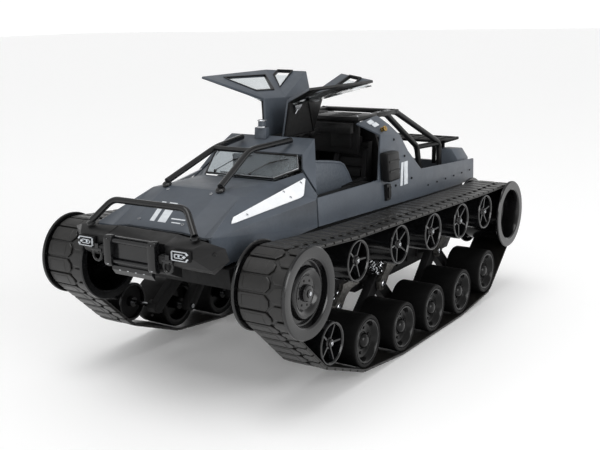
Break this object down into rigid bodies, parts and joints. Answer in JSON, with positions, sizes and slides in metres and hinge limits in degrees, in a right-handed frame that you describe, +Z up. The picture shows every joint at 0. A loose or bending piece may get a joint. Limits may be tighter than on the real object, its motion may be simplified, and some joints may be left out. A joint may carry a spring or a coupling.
{
  "type": "tracked vehicle",
  "caption": "Tracked buggy model with a raked, faceted body, gull-wing doors, roll bars, and rubber belts over drive wheels, sprung road wheels and spoked rollers.",
  "frame": {"origin": "on the ground below the middle of the vehicle's box", "axes": "+Z up, -Y towards the nose, +X towards the vehicle's left side"},
  "size_m": [0.245, 0.4936, 0.2443],
  "materials": {
    "paint": "satin slate-grey plastic shell",
    "black": "black moulded plastic",
    "gloss": "gloss black moulded plastic",
    "dark": "dark grey moulded plastic",
    "rubber": "black track rubber",
    "metal": "grey cast alloy",
    "glass": "clear moulding",
    "lamp": "clear lamp lens"
  },
  "bodies": {
    "body": {"chassis_tub": "dark", "battery_pack": "dark", "gearbox_and_motors": "dark", "hood_shell": "paint", "cabin_frame": "paint", "side_panel_left": "paint", "side_panel_right": "paint", "rear_deck": "paint", "cabin_interior": "dark", "steering_wheel": "black", "windscreen_glass": "glass", "windscreen_guard": "gloss", "front_bumper": "black", "bull_bar": "gloss", "winch_housing": "black", "headlight_left": "lamp", "headlight_right": "lamp", "roll_cage": "black", "rear_rack": "dark", "side_box_left": "black", "side_box_right": "black", "snorkel": "paint", "track_belt_left": "rubber", "track_belt_right": "rubber"},
    "swing_arm_left": {"swing_arm_left": "metal"},
    "front_rocker_left": {"front_rocker_left": "metal"},
    "rear_rocker_left": {"rear_rocker_left": "metal"},
    "drive_wheel_left": {"drive_wheel_left": "gloss"},
    "idler_wheel_left": {"idler_wheel_left": "gloss"},
    "guide_wheel_left": {"guide_wheel_left": "gloss"},
    "road_wheel_1_left": {"road_wheel_1_left": "gloss"},
    "road_wheel_2_left": {"road_wheel_2_left": "gloss"},
    "road_wheel_3_left": {"road_wheel_3_left": "gloss"},
    "road_wheel_4_left": {"road_wheel_4_left": "gloss"},
    "road_wheel_5_left": {"road_wheel_5_left": "gloss"},
    "return_roller_1_left": {"return_roller_1_left": "gloss"},
    "return_roller_2_left": {"return_roller_2_left": "gloss"},
    "return_roller_3_left": {"return_roller_3_left": "gloss"},
    "return_roller_4_left": {"return_roller_4_left": "gloss"},
    "return_roller_5_left": {"return_roller_5_left": "gloss"},
    "door_left": {"door_left": "paint", "door_window_left": "glass"},
    "swing_arm_right": {"swing_arm_right": "metal"},
    "front_rocker_right": {"front_rocker_right": "metal"},
    "rear_rocker_right": {"rear_rocker_right": "metal"},
    "drive_wheel_right": {"drive_wheel_right": "gloss"},
    "idler_wheel_right": {"idler_wheel_right": "gloss"},
    "guide_wheel_right": {"guide_wheel_right": "gloss"},
    "road_wheel_1_right": {"road_wheel_1_right": "gloss"},
    "road_wheel_2_right": {"road_wheel_2_right": "gloss"},
    "road_wheel_3_right": {"road_wheel_3_right": "gloss"},
    "road_wheel_4_right": {"road_wheel_4_right": "gloss"},
    "road_wheel_5_right": {"road_wheel_5_right": "gloss"},
    "return_roller_1_right": {"return_roller_1_right": "gloss"},
    "return_roller_2_right": {"return_roller_2_right": "gloss"},
    "return_roller_3_right": {"return_roller_3_right": "gloss"},
    "return_roller_4_right": {"return_roller_4_right": "gloss"},
    "return_roller_5_right": {"return_roller_5_right": "gloss"},
    "door_right": {"door_right": "paint", "door_window_right": "glass"}
  },
  "joints": [
    {"name": "swing_arm_left_pivot", "type": "hinge", "parent": "body", "child": "swing_arm_left", "pos_m": [0.071, -0.07, 0.06], "axis": [1, 0, 0], "range_deg": [-10, 0], "stiffness_Nm_per_rad": 0.35, "springref_deg": 20.05},
    {"name": "front_rocker_left_pivot", "type": "hinge", "parent": "body", "child": "front_rocker_left", "pos_m": [0.071, 0.0036, 0.054], "axis": [1, 0, 0], "range_deg": [-1.7, 1.7], "stiffness_Nm_per_rad": 0.25},
    {"name": "rear_rocker_left_pivot", "type": "hinge", "parent": "body", "child": "rear_rocker_left", "pos_m": [0.071, 0.1284, 0.058], "axis": [1, 0, 0], "range_deg": [-1.7, 1.7], "stiffness_Nm_per_rad": 0.25},
    {"name": "drive_wheel_left_spin", "type": "hinge", "parent": "body", "child": "drive_wheel_left", "pos_m": [0.099, -0.188, 0.0981], "axis": [1, 0, 0], "continuous": true},
    {"name": "idler_wheel_left_spin", "type": "hinge", "parent": "body", "child": "idler_wheel_left", "pos_m": [0.099, 0.2118, 0.0831], "axis": [1, 0, 0], "continuous": true},
    {"name": "guide_wheel_left_spin", "type": "hinge", "parent": "body", "child": "guide_wheel_left", "pos_m": [0.099, -0.1504, 0.0478], "axis": [1, 0, 0], "continuous": true},
    {"name": "road_wheel_1_left_spin", "type": "hinge", "parent": "swing_arm_left", "child": "road_wheel_1_left", "pos_m": [0.099, -0.094, 0.0326], "axis": [1, 0, 0], "continuous": true},
    {"name": "road_wheel_2_left_spin", "type": "hinge", "parent": "front_rocker_left", "child": "road_wheel_2_left", "pos_m": [0.099, -0.0276, 0.026], "axis": [1, 0, 0], "continuous": true},
    {"name": "road_wheel_3_left_spin", "type": "hinge", "parent": "front_rocker_left", "child": "road_wheel_3_left", "pos_m": [0.099, 0.0348, 0.026], "axis": [1, 0, 0], "continuous": true},
    {"name": "road_wheel_4_left_spin", "type": "hinge", "parent": "rear_rocker_left", "child": "road_wheel_4_left", "pos_m": [0.099, 0.0972, 0.026], "axis": [1, 0, 0], "continuous": true},
    {"name": "road_wheel_5_left_spin", "type": "hinge", "parent": "rear_rocker_left", "child": "road_wheel_5_left", "pos_m": [0.099, 0.1596, 0.032], "axis": [1, 0, 0], "continuous": true},
    {"name": "return_roller_1_left_spin", "type": "hinge", "parent": "body", "child": "return_roller_1_left", "pos_m": [0.099, -0.1095, 0.1044], "axis": [1, 0, 0], "continuous": true},
    {"name": "return_roller_2_left_spin", "type": "hinge", "parent": "body", "child": "return_roller_2_left", "pos_m": [0.099, -0.037, 0.1022], "axis": [1, 0, 0], "continuous": true},
    {"name": "return_roller_3_left_spin", "type": "hinge", "parent": "body", "child": "return_roller_3_left", "pos_m": [0.099, 0.029, 0.1001], "axis": [1, 0, 0], "continuous": true},
    {"name": "return_roller_4_left_spin", "type": "hinge", "parent": "body", "child": "return_roller_4_left", "pos_m": [0.099, 0.092, 0.098], "axis": [1, 0, 0], "continuous": true},
    {"name": "return_roller_5_left_spin", "type": "hinge", "parent": "body", "child": "return_roller_5_left", "pos_m": [0.099, 0.152, 0.096], "axis": [1, 0, 0], "continuous": true},
    {"name": "door_left_hinge", "type": "hinge", "parent": "body", "child": "door_left", "pos_m": [0.0095, -0.026, 0.1882], "axis": [0, 1, 0], "range_deg": [0, 77.5]},
    {"name": "swing_arm_right_pivot", "type": "hinge", "parent": "body", "child": "swing_arm_right", "pos_m": [-0.071, -0.07, 0.06], "axis": [1, 0, 0], "range_deg": [-10, 0], "stiffness_Nm_per_rad": 0.35, "springref_deg": 20.05},
    {"name": "front_rocker_right_pivot", "type": "hinge", "parent": "body", "child": "front_rocker_right", "pos_m": [-0.071, 0.0036, 0.054], "axis": [1, 0, 0], "range_deg": [-1.7, 1.7], "stiffness_Nm_per_rad": 0.25},
    {"name": "rear_rocker_right_pivot", "type": "hinge", "parent": "body", "child": "rear_rocker_right", "pos_m": [-0.071, 0.1284, 0.058], "axis": [1, 0, 0], "range_deg": [-1.7, 1.7], "stiffness_Nm_per_rad": 0.25},
    {"name": "drive_wheel_right_spin", "type": "hinge", "parent": "body", "child": "drive_wheel_right", "pos_m": [-0.099, -0.188, 0.0981], "axis": [1, 0, 0], "continuous": true},
    {"name": "idler_wheel_right_spin", "type": "hinge", "parent": "body", "child": "idler_wheel_right", "pos_m": [-0.099, 0.2118, 0.0831], "axis": [1, 0, 0], "continuous": true},
    {"name": "guide_wheel_right_spin", "type": "hinge", "parent": "body", "child": "guide_wheel_right", "pos_m": [-0.099, -0.1504, 0.0478], "axis": [1, 0, 0], "continuous": true},
    {"name": "road_wheel_1_right_spin", "type": "hinge", "parent": "swing_arm_right", "child": "road_wheel_1_right", "pos_m": [-0.099, -0.094, 0.0326], "axis": [1, 0, 0], "continuous": true},
    {"name": "road_wheel_2_right_spin", "type": "hinge", "parent": "front_rocker_right", "child": "road_wheel_2_right", "pos_m": [-0.099, -0.0276, 0.026], "axis": [1, 0, 0], "continuous": true},
    {"name": "road_wheel_3_right_spin", "type": "hinge", "parent": "front_rocker_right", "child": "road_wheel_3_right", "pos_m": [-0.099, 0.0348, 0.026], "axis": [1, 0, 0], "continuous": true},
    {"name": "road_wheel_4_right_spin", "type": "hinge", "parent": "rear_rocker_right", "child": "road_wheel_4_right", "pos_m": [-0.099, 0.0972, 0.026], "axis": [1, 0, 0], "continuous": true},
    {"name": "road_wheel_5_right_spin", "type": "hinge", "parent": "rear_rocker_right", "child": "road_wheel_5_right", "pos_m": [-0.099, 0.1596, 0.032], "axis": [1, 0, 0], "continuous": true},
    {"name": "return_roller_1_right_spin", "type": "hinge", "parent": "body", "child": "return_roller_1_right", "pos_m": [-0.099, -0.1095, 0.1044], "axis": [1, 0, 0], "continuous": true},
    {"name": "return_roller_2_right_spin", "type": "hinge", "parent": "body", "child": "return_roller_2_right", "pos_m": [-0.099, -0.037, 0.1022], "axis": [1, 0, 0], "continuous": true},
    {"name": "return_roller_3_right_spin", "type": "hinge", "parent": "body", "child": "return_roller_3_right", "pos_m": [-0.099, 0.029, 0.1001], "axis": [1, 0, 0], "continuous": true},
    {"name": "return_roller_4_right_spin", "type": "hinge", "parent": "body", "child": "return_roller_4_right", "pos_m": [-0.099, 0.092, 0.098], "axis": [1, 0, 0], "continuous": true},
    {"name": "return_roller_5_right_spin", "type": "hinge", "parent": "body", "child": "return_roller_5_right", "pos_m": [-0.099, 0.152, 0.096], "axis": [1, 0, 0], "continuous": true},
    {"name": "door_right_hinge", "type": "hinge", "parent": "body", "child": "door_right", "pos_m": [-0.0095, -0.026, 0.1882], "axis": [0, -1, 0], "range_deg": [0, 86.5]}
  ],
  "couplings": [
    {"joint": "idler_wheel_left_spin", "follows": "drive_wheel_left_spin", "ratio": 1},
    {"joint": "guide_wheel_left_spin", "follows": "drive_wheel_left_spin", "ratio": 1.6994},
    {"joint": "road_wheel_1_left_spin", "follows": "drive_wheel_left_spin", "ratio": 1.3243},
    {"joint": "road_wheel_2_left_spin", "follows": "drive_wheel_left_spin", "ratio": 1.3243},
    {"joint": "road_wheel_3_left_spin", "follows": "drive_wheel_left_spin", "ratio": 1.3243},
    {"joint": "road_wheel_4_left_spin", "follows": "drive_wheel_left_spin", "ratio": 1.3243},
    {"joint": "road_wheel_5_left_spin", "follows": "drive_wheel_left_spin", "ratio": 1.3243},
    {"joint": "return_roller_1_left_spin", "follows": "drive_wheel_left_spin", "ratio": 1.6994},
    {"joint": "return_roller_2_left_spin", "follows": "drive_wheel_left_spin", "ratio": 1.6994},
    {"joint": "return_roller_3_left_spin", "follows": "drive_wheel_left_spin", "ratio": 1.6994},
    {"joint": "return_roller_4_left_spin", "follows": "drive_wheel_left_spin", "ratio": 1.6994},
    {"joint": "return_roller_5_left_spin", "follows": "drive_wheel_left_spin", "ratio": 1.6994},
    {"joint": "idler_wheel_right_spin", "follows": "drive_wheel_right_spin", "ratio": 1},
    {"joint": "guide_wheel_right_spin", "follows": "drive_wheel_right_spin", "ratio": 1.6994},
    {"joint": "road_wheel_1_right_spin", "follows": "drive_wheel_right_spin", "ratio": 1.3243},
    {"joint": "road_wheel_2_right_spin", "follows": "drive_wheel_right_spin", "ratio": 1.3243},
    {"joint": "road_wheel_3_right_spin", "follows": "drive_wheel_right_spin", "ratio": 1.3243},
    {"joint": "road_wheel_4_right_spin", "follows": "drive_wheel_right_spin", "ratio": 1.3243},
    {"joint": "road_wheel_5_right_spin", "follows": "drive_wheel_right_spin", "ratio": 1.3243},
    {"joint": "return_roller_1_right_spin", "follows": "drive_wheel_right_spin", "ratio": 1.6994},
    {"joint": "return_roller_2_right_spin", "follows": "drive_wheel_right_spin", "ratio": 1.6994},
    {"joint": "return_roller_3_right_spin", "follows": "drive_wheel_right_spin", "ratio": 1.6994},
    {"joint": "return_roller_4_right_spin", "follows": "drive_wheel_right_spin", "ratio": 1.6994},
    {"joint": "return_roller_5_right_spin", "follows": "drive_wheel_right_spin", "ratio": 1.6994}
  ]
}
